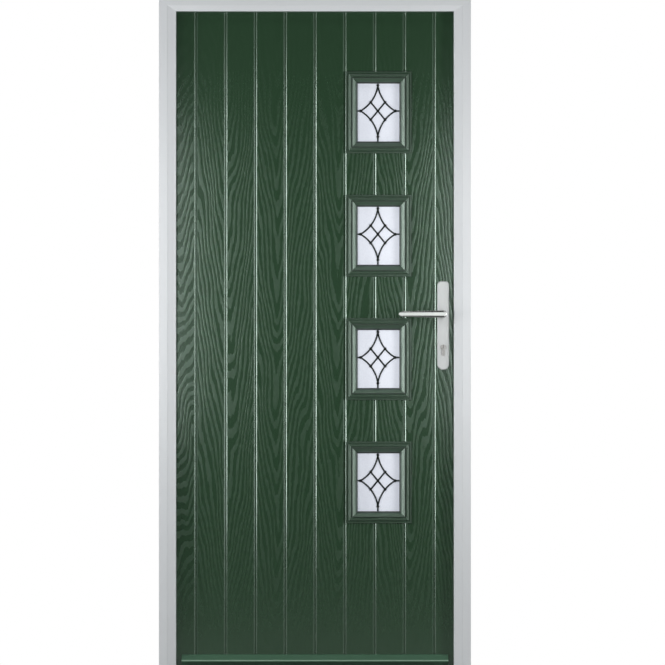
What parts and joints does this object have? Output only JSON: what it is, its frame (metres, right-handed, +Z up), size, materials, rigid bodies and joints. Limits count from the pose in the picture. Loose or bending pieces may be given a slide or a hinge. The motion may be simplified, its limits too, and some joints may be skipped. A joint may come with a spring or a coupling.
{
  "type": "front door",
  "caption": "Grooved front door leaf in a white frame, with a column of small leaded windows, a lever handle on a long plate, hinges inside and a bolt lock.",
  "frame": {"origin": "middle of the threshold's underside, at half the depth of the frame", "axes": "+X to the right seen from outside, +Y into the house, +Z up"},
  "size_m": [0.92, 0.145, 2],
  "materials": {
    "frame_plastic": "smooth white profile with a slight gloss",
    "mill_aluminium": "drawn finish",
    "seal_rubber": "matt black",
    "plated_steel": "zinc plated",
    "skin_green": "moulded woodgrain, satin dark green",
    "skin_white": "moulded woodgrain, satin white",
    "deflector_green": "satin powder coat",
    "obscure_glass": "finely textured toughened glass",
    "lead_strip": "dull dark lead",
    "timber": "laminated softwood",
    "foam": "rigid foam",
    "spacer_bar": "folded bar",
    "polished_metal": "polished plate",
    "cylinder_metal": "satin nickel",
    "hinge_metal": "white coated"
  },
  "bodies": {
    "frame": {"jamb_hinge_side": "frame_plastic", "jamb_lock_side": "frame_plastic", "frame_head": "frame_plastic", "threshold": "mill_aluminium", "frame_seal": "seal_rubber", "steel_tubes": "plated_steel", "keep_centre": "plated_steel", "keeps_for_hooks": "plated_steel", "hinge_plate_lower": "hinge_metal", "hinge_plate_middle": "hinge_metal", "hinge_plate_upper": "hinge_metal", "hinge_pins": "plated_steel", "frame_screws": "plated_steel"},
    "leaf": {"outer_skin": "skin_green", "inner_skin": "skin_white", "stile_hinge_side": "timber", "stile_lock_side": "timber", "rail_bottom": "timber", "rail_top": "timber", "foam_core": "foam", "leaf_screws": "plated_steel", "rain_deflector": "deflector_green", "cassette_outer_1": "skin_green", "cassette_outer_2": "skin_green", "cassette_outer_3": "skin_green", "cassette_outer_4": "skin_green", "cassette_inner_1": "skin_white", "cassette_inner_2": "skin_white", "cassette_inner_3": "skin_white", "cassette_inner_4": "skin_white", "glass_1": "obscure_glass", "glass_2": "obscure_glass", "glass_3": "obscure_glass", "glass_4": "obscure_glass", "lead_pattern_1": "lead_strip", "lead_pattern_2": "lead_strip", "lead_pattern_3": "lead_strip", "lead_pattern_4": "lead_strip", "glass_spacers": "spacer_bar", "cassette_screws": "plated_steel", "lock_faceplate": "plated_steel", "lock_cases": "plated_steel", "handle_plate_outer": "polished_metal", "handle_plate_inner": "polished_metal", "handle_bolts": "plated_steel", "cylinder_body": "cylinder_metal", "hinge_flag_lower": "hinge_metal", "hinge_flag_middle": "hinge_metal", "hinge_flag_upper": "hinge_metal"},
    "handle": {"lever_outer": "polished_metal", "lever_inner": "polished_metal", "spindle": "plated_steel"},
    "latch": {"latch_bolt": "plated_steel"},
    "key_turn": {"key_plug": "cylinder_metal", "cylinder_cam": "cylinder_metal", "thumb_turn": "cylinder_metal"},
    "bolt_bar": {"lock_bar": "plated_steel"},
    "dead_bolt": {"deadbolt": "plated_steel"},
    "lower_hook": {"hook_lower": "plated_steel"},
    "upper_hook": {"hook_upper": "plated_steel"}
  },
  "joints": [
    {"name": "leaf_swing", "type": "hinge", "parent": "frame", "child": "leaf", "pos_m": [-0.4245, 0.047, 0], "axis": [0, 0, 1], "range_deg": [0, 100]},
    {"name": "handle_turn", "type": "hinge", "parent": "leaf", "child": "handle", "pos_m": [0.379, 0.013, 1.073], "axis": [0, -1, 0], "range_deg": [0, 35], "stiffness_Nm_per_rad": 1.2, "springref_deg": -28.65},
    {"name": "latch_slide", "type": "slide", "parent": "leaf", "child": "latch", "axis": [-1, 0, 0], "range_m": [0, 0.011]},
    {"name": "cylinder_turn", "type": "hinge", "parent": "leaf", "child": "key_turn", "pos_m": [0.379, 0.013, 0.974], "axis": [0, 1, 0], "range_deg": [0, 360]},
    {"name": "bar_slide", "type": "slide", "parent": "leaf", "child": "bolt_bar", "axis": [0, 0, 1], "range_m": [0, 0.02]},
    {"name": "deadbolt_slide", "type": "slide", "parent": "leaf", "child": "dead_bolt", "axis": [1, 0, 0], "range_m": [0, 0.02]},
    {"name": "hook_lower_turn", "type": "hinge", "parent": "leaf", "child": "lower_hook", "pos_m": [0.396, 0.013, 0.33], "axis": [0, -1, 0], "range_deg": [0, 90]},
    {"name": "hook_upper_turn", "type": "hinge", "parent": "leaf", "child": "upper_hook", "pos_m": [0.396, 0.013, 1.69], "axis": [0, -1, 0], "range_deg": [0, 90]}
  ],
  "couplings": [
    {"joint": "latch_slide", "follows": "handle_turn", "m_per_rad": 0.018},
    {"joint": "cylinder_turn", "follows": "bar_slide", "rad_per_m": 314.16},
    {"joint": "deadbolt_slide", "follows": "bar_slide", "ratio": 1},
    {"joint": "hook_lower_turn", "follows": "bar_slide", "rad_per_m": 78.539},
    {"joint": "hook_upper_turn", "follows": "bar_slide", "rad_per_m": 78.539}
  ]
}
